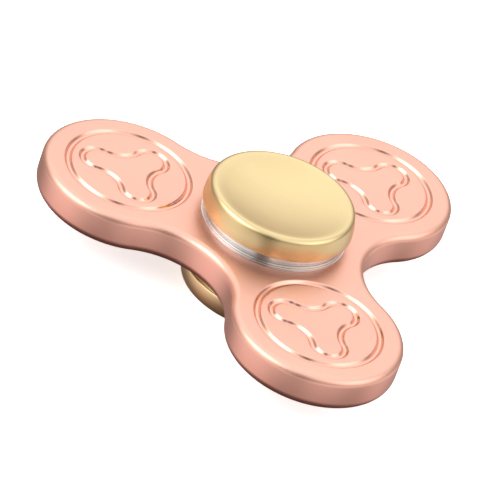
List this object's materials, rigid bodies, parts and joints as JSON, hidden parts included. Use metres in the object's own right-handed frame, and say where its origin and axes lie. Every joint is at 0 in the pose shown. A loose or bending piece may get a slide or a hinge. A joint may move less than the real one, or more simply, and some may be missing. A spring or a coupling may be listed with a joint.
{
  "type": "fidget spinner",
  "caption": "Three-lobed metal fidget spinner with grooved faces, a central ball bearing held by threaded rings, and dished finger caps on both sides.",
  "frame": {"origin": "centre of the ball bearing, on the spin axis, midway between the two finger caps", "axes": "+Z along the spin axis towards the top cap, +Y through one lobe, +X square to both"},
  "size_m": [0.075, 0.069, 0.0196],
  "materials": {
    "rose_gold": "satin rose-gold plating over cast zinc alloy",
    "satin_gold": "fine satin gold plating over turned brass",
    "bright_steel": "bright turned steel with fine lines round it",
    "bearing_steel": "ground bearing steel",
    "ball_steel": "polished bearing steel",
    "cage_steel": "pressed steel strip",
    "shield_steel": "rolled steel sheet and spring wire"
  },
  "bodies": {
    "hub": {"bearing_inner_race": "bearing_steel", "top_cap": "satin_gold", "bottom_cap": "satin_gold"},
    "rotor": {"body": "rose_gold", "upper_retaining_ring": "bright_steel", "lower_retaining_ring": "bright_steel", "bearing_outer_race": "bearing_steel", "shield_upper": "shield_steel", "shield_lower": "shield_steel", "shield_clip_upper": "shield_steel", "shield_clip_lower": "shield_steel"},
    "cage": {"cage_upper": "cage_steel", "cage_lower": "cage_steel", "cage_rivets": "cage_steel"},
    "ball_1": {"ball_1": "ball_steel"},
    "ball_2": {"ball_2": "ball_steel"},
    "ball_3": {"ball_3": "ball_steel"},
    "ball_4": {"ball_4": "ball_steel"},
    "ball_5": {"ball_5": "ball_steel"},
    "ball_6": {"ball_6": "ball_steel"},
    "ball_7": {"ball_7": "ball_steel"}
  },
  "joints": [
    {"name": "spin", "type": "hinge", "parent": "hub", "child": "rotor", "pos_m": [0, 0, 0], "axis": [0, 0, 1], "continuous": true},
    {"name": "cage_orbit", "type": "hinge", "parent": "hub", "child": "cage", "pos_m": [0, 0, 0], "axis": [0, 0, 1], "continuous": true},
    {"name": "ball_1_roll", "type": "hinge", "parent": "cage", "child": "ball_1", "pos_m": [0, 0.0075, 0], "axis": [0, 0, 1], "continuous": true},
    {"name": "ball_2_roll", "type": "hinge", "parent": "cage", "child": "ball_2", "pos_m": [-0.00586, 0.00468, 0], "axis": [0, 0, 1], "continuous": true},
    {"name": "ball_3_roll", "type": "hinge", "parent": "cage", "child": "ball_3", "pos_m": [-0.00731, -0.00167, 0], "axis": [0, 0, 1], "continuous": true},
    {"name": "ball_4_roll", "type": "hinge", "parent": "cage", "child": "ball_4", "pos_m": [-0.00325, -0.00676, 0], "axis": [0, 0, 1], "continuous": true},
    {"name": "ball_5_roll", "type": "hinge", "parent": "cage", "child": "ball_5", "pos_m": [0.00325, -0.00676, 0], "axis": [0, 0, 1], "continuous": true},
    {"name": "ball_6_roll", "type": "hinge", "parent": "cage", "child": "ball_6", "pos_m": [0.00731, -0.00167, 0], "axis": [0, 0, 1], "continuous": true},
    {"name": "ball_7_roll", "type": "hinge", "parent": "cage", "child": "ball_7", "pos_m": [0.00586, 0.00468, 0], "axis": [0, 0, 1], "continuous": true}
  ],
  "couplings": [
    {"joint": "cage_orbit", "follows": "spin", "ratio": 0.632},
    {"joint": "ball_1_roll", "follows": "spin", "ratio": 1.7619},
    {"joint": "ball_2_roll", "follows": "spin", "ratio": 1.7619},
    {"joint": "ball_3_roll", "follows": "spin", "ratio": 1.7619},
    {"joint": "ball_4_roll", "follows": "spin", "ratio": 1.7619},
    {"joint": "ball_5_roll", "follows": "spin", "ratio": 1.7619},
    {"joint": "ball_6_roll", "follows": "spin", "ratio": 1.7619},
    {"joint": "ball_7_roll", "follows": "spin", "ratio": 1.7619}
  ]
}
